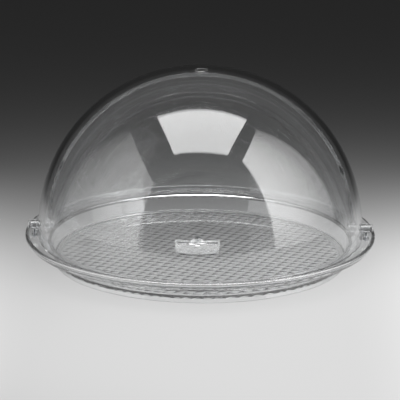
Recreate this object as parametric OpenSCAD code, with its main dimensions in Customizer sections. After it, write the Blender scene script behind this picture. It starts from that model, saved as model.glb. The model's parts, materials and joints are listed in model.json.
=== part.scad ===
// Round buffet tray under a clear roll-top dome. A rear shell stands fixed on the tray's seat, and a front
// shell rolls back over it on two side pivots. Millimetres, +Z up, front towards -Y, left towards -X.
// The origin lies on the table under the tray's centre.

/* [Tray] */
// Outside diameter of the rim
tray_d = 380; // [340:1:420]
// Height of the rim's top edge above the table
tray_h = 30.5; // [29:0.5:40]
// Thickness of the rim's rounded edge
rim_t = 4.5; // [3.5:0.1:5.5]
// Thickness of the seat, wall and floor
tray_t = 4; // [3:0.1:5]
// Drop from the rim's top edge to the seat
seat_drop = 5; // [4.5:0.1:6]
// Width of the raised lip outside the seat
lip_w = 6.2; // [5.5:0.1:6.4]
// Seat left free inside the rear shell
seat_margin = 1.4; // [0.6:0.1:4]
// Depth from the seat down to the floor
floor_depth = 17; // [14:0.5:18]
// Lean of the side wall from upright, in degrees
wall_draft = 16.4; // [6:0.1:20]
// Radius in the corner between wall and floor
floor_fillet = 2; // [1:0.5:6]
// Width of the ring that the tray stands on
foot_w = 6.5; // [4:0.5:12]

/* [Dome] */
// From the rim's outer edge in to the front shell
dome_margin = 14; // [14:0.5:20]
// Height of the pivot axis, the centre of both shells, above the seat
axis_rise = 10; // [10:0.5:14]
// Wall of the front shell
front_t = 5; // [3:0.1:6]
// Wall of the rear shell
rear_t = 4.5; // [3:0.1:6]
// Gap between the two shells
shell_gap = 2.5; // [2:0.1:5]
// Angle from the front, over the top, to the front shell's back edge
front_edge_angle = 112; // [100:1:116]
// Angle from the front, over the top, to the rear shell's front edge
rear_edge_angle = 106; // [90:1:110]
// Gap under the closed front shell
seat_gap = 0.3; // [0.2:0.1:1]
// Diameter of the low boss inside the top of the front shell
top_boss_d = 13; // [8:0.5:20]
// Depth of that boss below the shell's inner face
top_boss_h = 1.5; // [0.6:0.1:1.6]
// Width of each tongue that keeps the rear shell from turning
tongue_w = 12; // [8:0.5:20]
// Thickness of each tongue
tongue_t = 2.5; // [1.5:0.1:2.8]
// Depth of each tongue in the seat
tongue_depth = 3; // [1.5:0.1:3]
// Angle of each tongue from straight back
tongue_angle = 28; // [15:1:50]

/* [Pivots] */
// Diameter of the pin's shank
pin_d = 6; // [4:0.1:6.4]
// Gap between the pin's head and the top of the rim
head_gap = 0.3; // [0.2:0.1:0.8]
// Thickness of the pin's head
head_t = 3; // [2:0.1:4]
// Diameter of the cap on the pin's inner end
cap_d = 11; // [9:0.1:14]
// Thickness of that cap
cap_t = 4; // [3.5:0.1:6]
// Depth of the pin in its cap
cap_grip = 3; // [2:0.1:3]
// Chamfer on the outer edges of head and cap
head_chamfer = 0.8; // [0.3:0.1:1.2]
// Diameter of the washers on the pin
washer_d = 10.5; // [9:0.1:12]
// Thickness of each washer
washer_t = 1.5; // [0.8:0.1:1.6]
// How far the ears' flat faces stand proud of the shells
ear_proud = 0.2; // [0.1:0.05:0.4]
// Gap between the ears' rims and the seat
ear_gap = 1; // [0.5:0.1:2]
// Thickness of each hinge post along the pin
post_t = 5; // [4:0.1:5.2]
// Plastic around the pin's hole in the post
post_wall = 2.5; // [2:0.1:3.4]
// Width of the post's leg
leg_w = 8; // [6:0.5:11]
// Width of the post's foot
post_foot_w = 14; // [10:0.5:15]
// Thickness of the post's foot
post_foot_t = 2.5; // [1.5:0.1:3]
// How far the foot reaches in towards the dome
post_toe = 1; // [0.5:0.1:1.2]
// How far the foot reaches out towards the lip
post_heel = 0.3; // [0:0.1:0.4]
// Diameter of the screw that holds the post
post_screw_d = 3.5; // [2.5:0.1:4]
// Diameter of that screw's head
post_screw_head_d = 6.5; // [5:0.1:7]
// Thickness of that screw's head
post_screw_head_t = 2.2; // [1.5:0.1:3]
// Plastic left between that screw's tip and the pin
post_screw_cover = 1.2; // [0.8:0.1:2]

/* [Handle] */
// Angle of the handle's screw above the pivot axis
handle_angle = 11.75; // [11:0.25:24]
// Width of the handle
handle_w = 46; // [40:1:70]
// Thickness of the handle's roof and ends
handle_t = 2.5; // [2:0.1:3.5]
// How far the handle's lower edge stands out from the dome
handle_reach = 14.3; // [13:0.1:14.8]
// Lean of the handle's front face from upright, in degrees
face_lean = 33; // [28:0.5:36]
// Lean of the face's back from upright, in degrees
back_lean = 8; // [4:0.5:12]
// Set back of the face's back behind the upper edge of the face
back_set = 1; // [0.5:0.1:1.5]
// Height of that face at its ends
face_h = 10.2; // [9.5:0.1:11]
// How much deeper the face is at its middle
face_belly = 1.5; // [0.5:0.1:3]
// Slope of the handle's roof, in degrees
roof_slope = 22; // [12:1:30]
// Drop from the screw's axis to the front edge of the roof
roof_drop = 2; // [1:0.1:3]
// Radius of the handle's front corners, seen from above
corner_r = 7; // [5:0.5:9]
// Gap between the handle's back edges and the dome
back_gap = 1.2; // [0.5:0.1:2]
// Width of the screw boss at its top
boss_top_w = 8.4; // [7:0.1:12]
// Width of the screw boss at the roof's front edge
boss_foot_w = 20; // [14:0.5:26]
// Height of the screw boss above the screw's axis
boss_rise = 3.2; // [3.2:0.1:5]
// Depth of the screw boss below the screw's axis
boss_drop = 4; // [3.5:0.5:5]
// Set back of the boss's front behind the face
boss_set = 0.3; // [0.2:0.1:0.8]
// Diameter of the handle's screw
handle_screw_d = 4; // [3:0.1:5]
// Length of that screw inside the boss
handle_screw_grip = 3.5; // [2.5:0.1:3.6]
// Diameter of that screw's head
handle_screw_head_d = 8; // [6.5:0.1:10]
// Thickness of that screw's head
handle_screw_head_t = 2.8; // [2:0.1:4]
// Diameter of the washer inside the dome
handle_washer_d = 12; // [11:0.5:18]
// Thickness of that washer
handle_washer_t = 1.2; // [0.8:0.1:2]

/* [Fits] */
// Radial gap of the front shell's ears on the pins
run_gap = 0.08; // [0.02:0.01:0.1]
// Radial gap of fixed pieces on pins and screws
fixed_gap = 0.04; // [0.02:0.01:0.1]
// Radial gap of screws in plain holes
hole_gap = 0.15; // [0.1:0.05:0.3]
// Side play of the front shell's ears
side_play = 0.1; // [0.05:0.05:0.3]
// Gap round each tongue in its slot
tongue_gap = 0.2; // [0.1:0.05:0.4]
// Gap under pieces that sit on the curved shell
curve_gap = 0.05; // [0.02:0.01:0.2]

/* [Hidden] */
$fn = 96;
eps = 0.01;

LEFT = -1;
RIGHT = 1;
CLEAR = [0.86, 0.9, 0.92, 0.4];
STEEL = [0.62, 0.63, 0.65];

// Radii and heights of the two shells, about the pivot axis
front_r = tray_d / 2 - dome_margin;
rear_r = front_r - front_t - shell_gap;
seat_z = tray_h - seat_drop;
axis_z = seat_z + axis_rise;
ear_r = axis_rise - ear_gap;
beyond = 2 * tray_d;

// Heights and radii of the tray's section
floor_z = seat_z - floor_depth;
seat_bottom = seat_z - tray_t;
floor_bottom = floor_z - tray_t;
seat_in_r = sqrt(pow(rear_r - rear_t, 2) - pow(axis_rise, 2)) - seat_margin;
seat_out_r = tray_d / 2 - lip_w;
wall_thick_r = tray_t / cos(wall_draft);
bead_r = rim_t / 2;
bead_at = [tray_d / 2 - bead_r, tray_h - bead_r];

// Places of the pivot's pieces along the pin, from the middle of the dome outwards
rear_ear_in = rear_r - rear_t - ear_proud;
rear_ear_out = rear_r + ear_proud;
front_ear_in = front_r - front_t - ear_proud;
front_ear_out = front_r + ear_proud;
wall_washer_at = front_ear_out + side_play;
post_at = wall_washer_at + washer_t;
head_washer_at = post_at + post_t;
head_at = head_washer_at + washer_t;
pin_end = rear_ear_in - cap_grip;
post_mid = post_at + post_t / 2;
eye_r = pin_d / 2 + post_wall;
head_r = axis_rise - seat_drop - head_gap;
post_screw_tip = axis_z - pin_d / 2 - fixed_gap - post_screw_cover;

// Places of the handle's pieces along its own axis, from the middle of the dome outwards
face_low_at = front_r + handle_reach;
face_top_at = face_low_at - face_h * tan(face_lean);
handle_back = front_r - front_t;
handle_low = roof_drop + face_h + face_belly;
washer_top = sqrt(pow(front_r - front_t, 2) - pow(handle_washer_d / 2, 2)) - curve_gap;
washer_bottom = washer_top - handle_washer_t;
tongue_r = sqrt(pow(rear_r - rear_t / 2, 2) - pow(axis_rise, 2));

// Inner face of the tray's side wall at a height
function wall_in_r(z) = seat_in_r - (seat_z - z) * tan(wall_draft);
// Where a straight line from a point touches the rim's bead, on one side of it or the other
function on_bead(point, turn) =
    let (
        away = point - bead_at,
        angle = atan2(away[1], away[0]) + turn * acos(bead_r / norm(away))
    )
    bead_at + bead_r * [cos(angle), sin(angle)];

// Moves its children to the pivot axis
module at_axis() {
    translate([0, 0, axis_z]) children();
}

// Turns its children so that their +Z runs out along the handle's axis
module along_handle() {
    at_axis() rotate([90 - handle_angle, 0, 0]) children();
}

// A round bar along the pivot axis between two distances from the middle, on one side
module along_pin(side, from, to, radius) {
    at_axis() rotate([0, side * 90, 0]) translate([0, 0, from]) cylinder(r = radius, h = to - from);
}

// A washer along the pivot axis on one side
module pin_washer(side, from, thickness) {
    difference() {
        along_pin(side, from, from + thickness, washer_d / 2);
        along_pin(side, from - eps, from + thickness + eps, pin_d / 2 + fixed_gap);
    }
}

// A chamfered disc along the pivot axis, with its small face away from the seat
module chamfered_disc(side, radius, seat, face) {
    away = face > seat ? 1 : -1;
    shoulder = face - away * head_chamfer;
    along_pin(side, min(seat, shoulder), max(seat, shoulder), radius);
    at_axis() rotate([0, side * 90, 0]) translate([0, 0, shoulder])
        mirror([0, 0, away > 0 ? 0 : 1])
            cylinder(r1 = radius, r2 = radius - head_chamfer, h = head_chamfer);
}

// A spherical wall kept inside an outline in the upright plane through front and back
module shell(radius, wall, outline) {
    intersection() {
        difference() {
            sphere(r = radius);
            sphere(r = radius - wall);
        }
        rotate([90, 0, 90]) linear_extrude(beyond, center = true) polygon(outline);
    }
}

// The slot or tongue at one side of the back, wider by a gap
module tongue_block(side, gap, bottom, top) {
    rotate([0, 0, 90 + side * tongue_angle])
        translate([tongue_r - tongue_t / 2 - gap, -tongue_w / 2 - gap, bottom])
            cube([tongue_t + 2 * gap, tongue_w + 2 * gap, top - bottom]);
}

// Half section of the tray
module tray_section() {
    foot_out_r = wall_in_r(0) + wall_thick_r;
    lip_top = [seat_out_r, seat_z];
    lip_bottom = [seat_out_r + tray_t / 2, seat_bottom];
    polygon([
        [0, floor_bottom],
        [foot_out_r - foot_w, floor_bottom],
        [foot_out_r - foot_w, 0],
        [foot_out_r, 0],
        [wall_in_r(seat_bottom) + wall_thick_r, seat_bottom],
        lip_bottom,
        on_bead(lip_bottom, 1),
        on_bead(lip_top, -1),
        lip_top,
        [seat_in_r, seat_z],
        [wall_in_r(floor_z), floor_z],
        [0, floor_z],
    ]);
    translate(bead_at) circle(r = bead_r);
    // The round corner between wall and floor
    corner = [wall_in_r(floor_z), floor_z];
    reach = floor_fillet / tan(45 + wall_draft / 2);
    difference() {
        polygon([corner, corner + reach * [sin(wall_draft), cos(wall_draft)], corner - [reach, 0]]);
        translate(corner + [-reach, floor_fillet]) circle(r = floor_fillet);
    }
}

module tray() {
    color(CLEAR) difference() {
        rotate_extrude() tray_section();
        for (side = [LEFT, RIGHT]) {
            translate([side * post_mid, 0, seat_bottom - eps])
                cylinder(d = post_screw_d + 2 * hole_gap, h = tray_t + 2 * eps);
            tongue_block(side, tongue_gap, seat_z - tongue_depth - tongue_gap, seat_z + eps);
        }
    }
}

module rear_dome() {
    edge = beyond * [-cos(rear_edge_angle), sin(rear_edge_angle)];
    outline = [[0, 0], [0, -axis_rise], [beyond, -axis_rise], [beyond, beyond], edge];
    color(CLEAR) difference() {
        union() {
            at_axis() shell(rear_r, rear_t, outline);
            for (side = [LEFT, RIGHT]) {
                along_pin(side, rear_ear_in, rear_ear_out, ear_r);
                tongue_block(side, 0, seat_z - tongue_depth, seat_z + rear_t);
            }
        }
        for (side = [LEFT, RIGHT])
            along_pin(side, rear_ear_in - eps, rear_ear_out + eps, pin_d / 2 + fixed_gap);
    }
}

module front_dome() {
    base = seat_gap - axis_rise;
    edge = beyond * [-cos(front_edge_angle), sin(front_edge_angle)];
    outline = [[0, 0], edge, [-beyond, beyond], [-beyond, base], [0, base]];
    color(CLEAR) difference() {
        union() {
            at_axis() shell(front_r, front_t, outline);
            for (side = [LEFT, RIGHT])
                along_pin(side, front_ear_in, front_ear_out, ear_r);
            at_axis() translate([0, 0, front_r - front_t - top_boss_h])
                cylinder(d = top_boss_d, h = top_boss_h + front_t / 2);
        }
        for (side = [LEFT, RIGHT])
            along_pin(side, front_ear_in - eps, front_ear_out + eps, pin_d / 2 + run_gap);
        along_handle() translate([0, 0, front_r - 2 * front_t])
            cylinder(d = handle_screw_d + 2 * hole_gap, h = 3 * front_t);
    }
}

// Front outline of the handle, with a belly below
module handle_front() {
    height = handle_low + boss_rise;
    belly_r = (pow(handle_w / 2, 2) + pow(face_belly, 2)) / (2 * face_belly);
    intersection() {
        translate([-handle_w / 2, -handle_low]) square([handle_w, height]);
        translate([0, belly_r - handle_low]) circle(r = belly_r, $fn = 4 * $fn);
    }
}

// Outline of the handle from above, smaller by an inset at the front and the ends
module handle_plan(inset) {
    half = handle_w / 2 - inset;
    turn_r = corner_r - inset;
    front = face_low_at - inset;
    translate([-half, handle_back]) square([2 * half, front - turn_r - handle_back]);
    translate([turn_r - half, handle_back]) square([2 * (half - turn_r), front - handle_back]);
    for (side = [LEFT, RIGHT])
        translate([side * (half - turn_r), front - turn_r]) circle(r = turn_r);
}

// A block with the handle's roof and a leaning face, their corner at a height and a distance
module roof_block(height, at, lean) {
    corner = [height, at];
    low = corner + handle_w * [-1, tan(lean)];
    back = corner + handle_w * [tan(roof_slope), -1];
    rotate([90, 0, 90]) linear_extrude(2 * handle_w, center = true)
        polygon([corner, low, [low[0], back[1]], back]);
}

// The space inside an outline from above, over the whole height of the handle
module above(height) {
    rotate([90, 0, 0]) linear_extrude(2 * height, center = true) children();
}

// The hollow pull: a leaning face, a roof and two rounded ends, open below and behind
module pull() {
    difference() {
        intersection() {
            translate([0, 0, handle_back]) linear_extrude(handle_reach + 2 * front_t) handle_front();
            above(2 * handle_low) handle_plan(0);
            roof_block(-roof_drop, face_top_at, face_lean);
        }
        intersection() {
            above(2 * handle_low) handle_plan(handle_t);
            roof_block(-roof_drop - handle_t / cos(roof_slope), face_top_at - back_set, back_lean);
        }
        sphere(r = front_r + back_gap);
    }
}

// The boss that the screw holds to the dome, with a front that leans like the face
module screw_boss() {
    top = 2 * boss_rise;
    difference() {
        intersection() {
            translate([0, 0, handle_back]) linear_extrude(face_low_at - handle_back) polygon([
                [-boss_foot_w / 2, -boss_drop],
                [-boss_foot_w / 2, -roof_drop],
                [-boss_top_w / 2, boss_rise],
                [boss_top_w / 2, boss_rise],
                [boss_foot_w / 2, -roof_drop],
                [boss_foot_w / 2, -boss_drop],
            ]);
            roof_block(top, face_top_at - boss_set - (top + roof_drop) * tan(face_lean), face_lean);
        }
        sphere(r = front_r + curve_gap);
    }
}

module handle() {
    color(CLEAR) along_handle() difference() {
        union() {
            pull();
            screw_boss();
        }
        cylinder(d = handle_screw_d + 2 * fixed_gap, h = front_r + handle_screw_grip + hole_gap);
    }
}

module handle_screw() {
    color(STEEL) along_handle() {
        translate([0, 0, washer_bottom - handle_screw_head_t])
            cylinder(d = handle_screw_head_d, h = handle_screw_head_t);
        translate([0, 0, washer_bottom - eps])
            cylinder(d = handle_screw_d, h = front_r + handle_screw_grip - washer_bottom + eps);
    }
}

module handle_washer() {
    color(CLEAR) along_handle() translate([0, 0, washer_bottom]) difference() {
        cylinder(d = handle_washer_d, h = handle_washer_t);
        translate([0, 0, -eps])
            cylinder(d = handle_screw_d + 2 * fixed_gap, h = handle_washer_t + 2 * eps);
    }
}

module hinge_post(side) {
    foot_in = post_at - post_toe;
    foot_out = head_washer_at + post_heel;
    color(CLEAR) difference() {
        union() {
            along_pin(side, post_at, head_washer_at, eye_r);
            translate([side * post_mid, 0, (seat_z + axis_z) / 2])
                cube([post_t, leg_w, axis_z - seat_z], center = true);
            translate([side * (foot_in + foot_out) / 2, 0, seat_z + post_foot_t / 2])
                cube([foot_out - foot_in, post_foot_w, post_foot_t], center = true);
        }
        along_pin(side, post_at - eps, head_washer_at + eps, pin_d / 2 + fixed_gap);
        translate([side * post_mid, 0, seat_z - eps])
            cylinder(d = post_screw_d + 2 * fixed_gap, h = post_screw_tip - seat_z + hole_gap);
    }
}

module post_screw(side) {
    color(STEEL) translate([side * post_mid, 0, seat_bottom]) {
        translate([0, 0, -post_screw_head_t]) cylinder(d = post_screw_head_d, h = post_screw_head_t);
        translate([0, 0, -eps]) cylinder(d = post_screw_d, h = post_screw_tip - seat_bottom + eps);
    }
}

module pivot_pin(side) {
    color(CLEAR) {
        along_pin(side, pin_end, head_at + eps, pin_d / 2);
        chamfered_disc(side, head_r, head_at, head_at + head_t);
    }
}

module head_washer(side) {
    color(CLEAR) pin_washer(side, head_washer_at, washer_t);
}

module wall_washer(side) {
    color(CLEAR) pin_washer(side, wall_washer_at, washer_t);
}

module inner_spacer(side) {
    color(CLEAR) pin_washer(side, rear_ear_out, front_ear_in - side_play - rear_ear_out);
}

module pin_cap(side) {
    color(CLEAR) difference() {
        chamfered_disc(side, cap_d / 2, rear_ear_in, rear_ear_in - cap_t);
        along_pin(side, pin_end - fixed_gap, rear_ear_in + eps, pin_d / 2 + fixed_gap);
    }
}

tray();
rear_dome();
front_dome();
handle();
handle_screw();
handle_washer();
hinge_post(LEFT);  // hinge_post_left
hinge_post(RIGHT);  // hinge_post_right
post_screw(LEFT);  // post_screw_left
post_screw(RIGHT);  // post_screw_right
pivot_pin(LEFT);  // pivot_pin_left
pivot_pin(RIGHT);  // pivot_pin_right
head_washer(LEFT);  // head_washer_left
head_washer(RIGHT);  // head_washer_right
wall_washer(LEFT);  // wall_washer_left
wall_washer(RIGHT);  // wall_washer_right
inner_spacer(LEFT);  // inner_spacer_left
inner_spacer(RIGHT);  // inner_spacer_right
pin_cap(LEFT);  // pin_cap_left
pin_cap(RIGHT);  // pin_cap_right
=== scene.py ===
"""Dresses the round buffet tray with its clear roll-top dome, and sets a small studio round it.

Everything is in metres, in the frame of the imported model: the origin lies on the table under the
tray's centre, +Z is up and the handle faces -Y.
"""

from __future__ import annotations

import json
import logging
import math
from dataclasses import dataclass, field
from enum import Enum
from itertools import pairwise
from typing import Callable, Sequence

import bpy
from mathutils import Euler, Matrix, Vector


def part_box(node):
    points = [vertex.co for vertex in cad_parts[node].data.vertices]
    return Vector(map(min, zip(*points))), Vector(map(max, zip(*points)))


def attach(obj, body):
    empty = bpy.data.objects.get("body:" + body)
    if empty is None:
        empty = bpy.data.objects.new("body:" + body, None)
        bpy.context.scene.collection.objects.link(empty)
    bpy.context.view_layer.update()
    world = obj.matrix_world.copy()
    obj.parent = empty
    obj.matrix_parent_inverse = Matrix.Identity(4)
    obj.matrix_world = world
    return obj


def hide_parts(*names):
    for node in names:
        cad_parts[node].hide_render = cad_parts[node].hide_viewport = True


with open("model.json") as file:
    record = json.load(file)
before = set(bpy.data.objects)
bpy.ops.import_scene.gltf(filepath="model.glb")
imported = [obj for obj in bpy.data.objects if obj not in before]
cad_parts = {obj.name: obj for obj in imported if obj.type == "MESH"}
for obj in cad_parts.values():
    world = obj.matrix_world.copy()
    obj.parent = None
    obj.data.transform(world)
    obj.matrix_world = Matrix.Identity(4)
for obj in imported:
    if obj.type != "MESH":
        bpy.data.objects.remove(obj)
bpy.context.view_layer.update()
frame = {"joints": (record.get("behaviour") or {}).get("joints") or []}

LOG = logging.getLogger("buffet_dome")
MM = 0.001
QUARTER = math.pi / 2
ZERO = (0.0, 0.0, 0.0)
# Air left between clear pieces that touch, so that each keeps its own surfaces
AIR = 0.03 * MM
# Air round a screw or pin that is held fast
FIT_GAP = 0.04 * MM
# Air round the pins in the rolling shell
RUN_GAP = 0.08 * MM
# Air past a screw's tip
TIP_GAP = 0.15 * MM
WASHER_ROUND = 0.3 * MM
PIN_RADIUS = 3 * MM
FRONT_WALL = 5 * MM
# Rise of the handle's screw from level
HANDLE_ANGLE = math.radians(11.75)
# Where the rear shell's tongues stand in the seat
TONGUE_RADIUS = 165.95 * MM
TONGUE_ANGLE = math.radians(28)
# Steps round large pieces, small ones, rounded corners and softened edges
ROUND_STEPS = 192
SMALL_STEPS = 64
CORNER_STEPS = 6
EDGE_STEPS = 3
# Edges sharper than this stay sharp
SHARP_ANGLE = math.radians(32)
# How far large faces outweigh small ones in the shading
FLAT_WEIGHT = 100
# Points closer than this are one, in a piece and in a chain of edges
MERGE_GAP = 1e-7
CHAIN_GAP = 1e-8
# The part of a noise's range that is used, and where a run of colours starts and ends in it
NOISE_SPAN = (0.3, 0.7)
RAMP_STOPS = (0.35, 0.65)
RISE = (0.0, 1.0)
FALL = (1.0, 0.0)

Point = tuple[float, float]
Corner = tuple[float, float, float]
Colour = tuple[float, float, float]
Piece = bpy.types.Object
Socket = bpy.types.NodeSocket


class Body(Enum):
    """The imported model's bodies."""

    BASE = "base"
    COVER = "front_cover"


class Slot(Enum):
    """The record's material slots."""

    TRAY = "clear_tray"
    SHELL = "clear_shell"
    FITTINGS = "clear_fittings"
    STEEL = "screw_steel"


class Join(Enum):
    """How one piece changes another."""

    ADD = "UNION"
    CUT = "DIFFERENCE"
    KEEP = "INTERSECT"


class Side(Enum):
    """The two sides of the tray, as signs along X."""

    LEFT = -1
    RIGHT = 1

    @property
    def label(self) -> str:
        """The side's name, as the nodes spell it."""
        return self.name.lower()


def deselect() -> None:
    """Leaves edit mode and deselects every object."""
    if bpy.context.object and bpy.context.object.mode != "OBJECT":
        bpy.ops.object.mode_set(mode="OBJECT")
    bpy.ops.object.select_all(action="DESELECT")


def pick(piece: Piece) -> None:
    """Makes a piece the only selected and active object.

    Args:
        piece: The piece to pick.
    """
    deselect()
    piece.select_set(True)
    bpy.context.view_layer.objects.active = piece


def edit(piece: Piece, mode: str = "VERT", select: str = "SELECT") -> None:
    """Opens a piece in edit mode.

    Args:
        piece: The piece to edit.
        mode: What is selected there: VERT, EDGE or FACE.
        select: What select_all does first.
    """
    pick(piece)
    bpy.ops.object.mode_set(mode="EDIT")
    bpy.ops.mesh.select_mode(type=mode)
    bpy.ops.mesh.select_all(action=select)


def pick_faces(piece: Piece, test: Callable[[bpy.types.MeshPolygon], bool]) -> None:
    """Opens a piece in edit mode with the faces selected that pass a test.

    Args:
        piece: The piece to edit.
        test: Whether a face is selected.
    """
    edit(piece, "FACE", "DESELECT")
    bpy.ops.object.mode_set(mode="OBJECT")
    for face in piece.data.polygons:
        face.select = test(face)
    bpy.ops.object.mode_set(mode="EDIT")


def heal(piece: Piece) -> None:
    """Merges doubled points and points all faces outwards.

    Args:
        piece: The piece to heal.
    """
    edit(piece)
    bpy.ops.mesh.remove_doubles(threshold=MERGE_GAP)
    bpy.ops.mesh.normals_make_consistent(inside=False)
    bpy.ops.object.mode_set(mode="OBJECT")


def smooth(piece: Piece, angle: float = SHARP_ANGLE) -> None:
    """Shades a piece smooth, with its real edges kept sharp and its flat faces kept flat.

    Args:
        piece: The piece to shade.
        angle: Edges sharper than this stay sharp.
    """
    pick(piece)
    bpy.ops.object.shade_smooth_by_angle(angle=angle)
    even = piece.modifiers.new("flat_faces", "WEIGHTED_NORMAL")
    even.weight = FLAT_WEIGHT
    even.keep_sharp = True
    bpy.ops.object.modifier_apply(modifier=even.name)


def settle(piece: Piece) -> None:
    """Moves a piece's place, turn and scale into its mesh."""
    pick(piece)
    bpy.ops.object.transform_apply(location=True, rotation=True, scale=True)


def combine(piece: Piece, tool: Piece, how: Join) -> None:
    """Adds a tool to a piece, cuts it away or keeps what both share, and deletes the tool.

    Args:
        piece: The piece that changes.
        tool: A closed shape, which is used up.
        how: Add, cut or keep.
    """
    pick(piece)
    change = piece.modifiers.new(how.name.lower(), "BOOLEAN")
    change.operation = how.value
    change.solver = "MANIFOLD"
    change.object = tool
    bpy.ops.object.modifier_apply(modifier=change.name)
    bpy.data.objects.remove(tool)


def soften(piece: Piece, width: float) -> None:
    """Rounds a piece's sharp edges.

    Args:
        piece: The piece to round.
        width: Width of the rounding.
    """
    pick(piece)
    bevel = piece.modifiers.new("soft_edges", "BEVEL")
    bevel.width = width
    bevel.segments = EDGE_STEPS
    bevel.limit_method = "ANGLE"
    bevel.angle_limit = SHARP_ANGLE
    bpy.ops.object.modifier_apply(modifier=bevel.name)


def arc(centre: Point, radius: float, start: float, end: float, steps: int) -> list[Point]:
    """Points along an arc.

    Args:
        centre: The arc's centre.
        radius: Its radius.
        start: Angle of the first point, in degrees.
        end: Angle of the last point, in degrees.
        steps: Number of straight steps.

    Returns:
        The points from start to end.
    """
    angles = [math.radians(start + (end - start) * i / steps) for i in range(steps + 1)]
    return [(centre[0] + radius * math.cos(a), centre[1] + radius * math.sin(a)) for a in angles]


def rounded(before: Point, corner: Point, after: Point, radius: float) -> list[Point]:
    """Points that round one corner of an outline.

    Args:
        before: The outline's point before the corner.
        corner: The corner itself.
        after: The outline's point after it.
        radius: Radius of the rounding.

    Returns:
        The points that stand for the corner.
    """
    tip = Vector(corner)
    back = (Vector(before) - tip).normalized()
    on = (Vector(after) - tip).normalized()
    half = back.angle(on) / 2
    centre = tip + (back + on).normalized() * radius / math.sin(half)
    first = tip + back * radius / math.tan(half) - centre
    last = tip + on * radius / math.tan(half) - centre
    turn = first.angle_signed(last)
    turns = [-turn * i / CORNER_STEPS for i in range(CORNER_STEPS + 1)]
    return [tuple(centre + Matrix.Rotation(angle, 2) @ first) for angle in turns]


def outline(corners: Sequence[Corner], closed: bool) -> list[Point]:
    """An outline whose corners may be round.

    Args:
        corners: Each corner as two coordinates and its radius, 0 for a sharp one.
        closed: Whether the last corner joins the first.

    Returns:
        The outline's points.
    """
    flat = [(c[0], c[1]) for c in corners]
    count = len(flat)
    points: list[Point] = []
    for i, (u, v, radius) in enumerate(corners):
        inside = closed or 0 < i < count - 1
        if radius > 0 and inside:
            points += rounded(flat[i - 1], flat[i], flat[(i + 1) % count], radius)
        else:
            points.append((u, v))
    return points


def chain(name: str, points: Sequence[Sequence[float]], closed: bool) -> Piece:
    """Draws a chain of edges through points, and leaves it open in edit mode with all selected.

    Args:
        name: Name of the new object.
        points: The chain's points.
        closed: Whether it returns to its first point.

    Returns:
        The new object.
    """
    deselect()
    bpy.ops.mesh.primitive_plane_add(size=MM)
    piece = bpy.context.object
    piece.name = name
    piece.data.name = name
    edit(piece)
    bpy.ops.mesh.merge(type="CENTER")
    bpy.ops.transform.translate(value=points[0])
    stops = [Vector(p) for p in points]
    if closed:
        stops.append(stops[0])
    for here, there in pairwise(stops):
        bpy.ops.mesh.extrude_region_move(TRANSFORM_OT_translate={"value": there - here})
    bpy.ops.mesh.select_all(action="SELECT")
    bpy.ops.mesh.remove_doubles(threshold=CHAIN_GAP)
    return piece


def lathe(name: str, section: Sequence[Point], steps: int = SMALL_STEPS) -> Piece:
    """Turns a half section about the Z axis into a closed piece.

    Args:
        name: Name of the new object.
        section: Points as radius and height. A section with both ends on the axis gets flat ends,
            and any other one is closed to a ring.
        steps: Steps round the axis.

    Returns:
        The turned piece.
    """
    solid = section[0][0] == 0 and section[-1][0] == 0
    wall = section[1:-1] if solid else section
    piece = chain(name, [(r, 0, z) for r, z in wall], not solid)
    bpy.ops.mesh.spin(steps=steps, angle=math.tau, center=ZERO, axis=(0, 0, 1))
    bpy.ops.mesh.select_all(action="SELECT")
    bpy.ops.mesh.remove_doubles(threshold=MERGE_GAP)
    if solid:
        bpy.ops.mesh.fill_holes(sides=0)
    heal(piece)
    return piece


def slab(name: str, points: Sequence[Point], height: float) -> Piece:
    """Raises a flat outline in the XY plane along +Z.

    Args:
        name: Name of the new object.
        points: The outline.
        height: How far it is raised.

    Returns:
        The raised piece.
    """
    piece = chain(name, [(u, v, 0) for u, v in points], True)
    bpy.ops.mesh.edge_face_add()
    bpy.ops.mesh.extrude_region_move(TRANSFORM_OT_translate={"value": (0, 0, height)})
    heal(piece)
    return piece


def block(name: str, low: Sequence[float], high: Sequence[float]) -> Piece:
    """A box between two corners, as a start for a piece or a tool.

    Args:
        name: Name of the new object.
        low: Its lowest corner.
        high: Its highest corner.

    Returns:
        The box.
    """
    deselect()
    middle = [(a + b) / 2 for a, b in zip(low, high)]
    size = [b - a for a, b in zip(low, high)]
    bpy.ops.mesh.primitive_cube_add(size=1, location=middle, scale=size)
    piece = bpy.context.object
    piece.name = name
    settle(piece)
    return piece


def rod(name: str, radius: float, low: float, high: float, steps: int = SMALL_STEPS) -> Piece:
    """A round bar on the Z axis between two heights, as a tool.

    Args:
        name: Name of the new object.
        radius: Its radius.
        low: Height of its lower end.
        high: Height of its upper end.
        steps: Steps round the axis.

    Returns:
        The bar.
    """
    deselect()
    bpy.ops.mesh.primitive_cylinder_add(
        vertices=steps, radius=radius, depth=high - low, location=(0, 0, (low + high) / 2)
    )
    piece = bpy.context.object
    piece.name = name
    settle(piece)
    return piece


def ring(name: str, radii: Point, heights: Point, soft: float) -> Piece:
    """A flat ring about the Z axis, with its outer edges rounded.

    Args:
        name: Name of the new object.
        radii: Radius of its hole and its outer radius.
        heights: Heights of its lower and its upper face.
        soft: Radius of the rounding.

    Returns:
        The ring.
    """
    bore, radius = radii
    low, high = heights
    corners = [(bore, low, 0), (radius, low, soft), (radius, high, soft), (bore, high, 0)]
    return lathe(name, outline(corners, True))


def place(piece: Piece, turn: Sequence[float] = ZERO, shift: Sequence[float] = ZERO) -> Piece:
    """Turns a piece about the origin, moves it and settles it there.

    Args:
        piece: The piece to move.
        turn: Turns about X, Y and Z, in radians.
        shift: The move after that.

    Returns:
        The same piece.
    """
    piece.rotation_euler = Euler(turn)
    piece.location = shift
    settle(piece)
    return piece


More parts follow.
